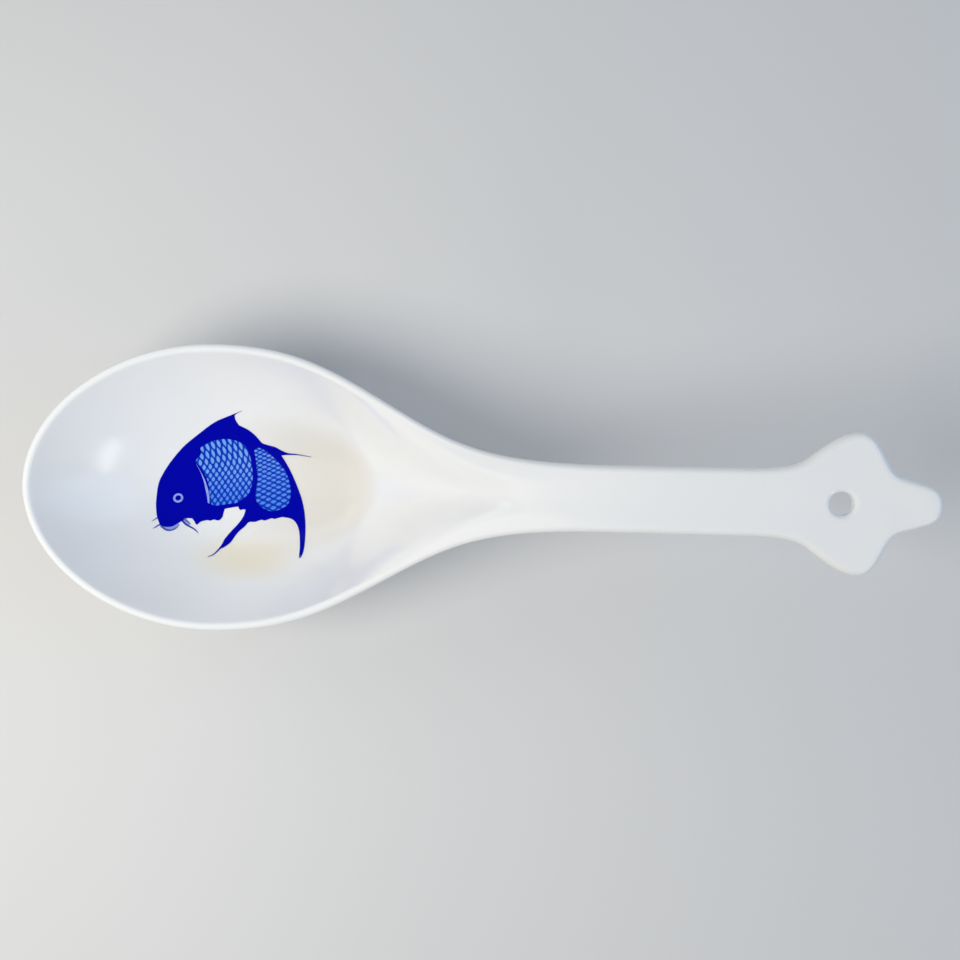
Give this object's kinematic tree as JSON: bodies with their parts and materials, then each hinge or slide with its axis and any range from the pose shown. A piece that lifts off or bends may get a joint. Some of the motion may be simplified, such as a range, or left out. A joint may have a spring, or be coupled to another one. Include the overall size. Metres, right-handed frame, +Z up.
{
  "type": "serving spoon",
  "caption": "White glazed porcelain serving spoon with a deep oval bowl, a rising handle ending in a rounded star with a hanging hole, and a blue carp print in the bowl.",
  "frame": {"origin": "middle of the ground foot under the bowl, on the table", "axes": "+X along the spoon from the tip of the bowl to the point of the star, +Z up from the table"},
  "size_m": [0.23, 0.077, 0.059],
  "materials": {
    "white_glaze": "clear gloss glaze over white porcelain",
    "cobalt_print": "deep cobalt transfer colour, fired glossy",
    "scale_blue_print": "lighter blue transfer colour, fired glossy"
  },
  "bodies": {
    "root": {"spoon_body": "white_glaze", "carp_print_body": "cobalt_print", "carp_print_pupil": "cobalt_print", "carp_print_scales_front": "scale_blue_print", "carp_print_scales_rear": "scale_blue_print"}
  },
  "joints": []
}
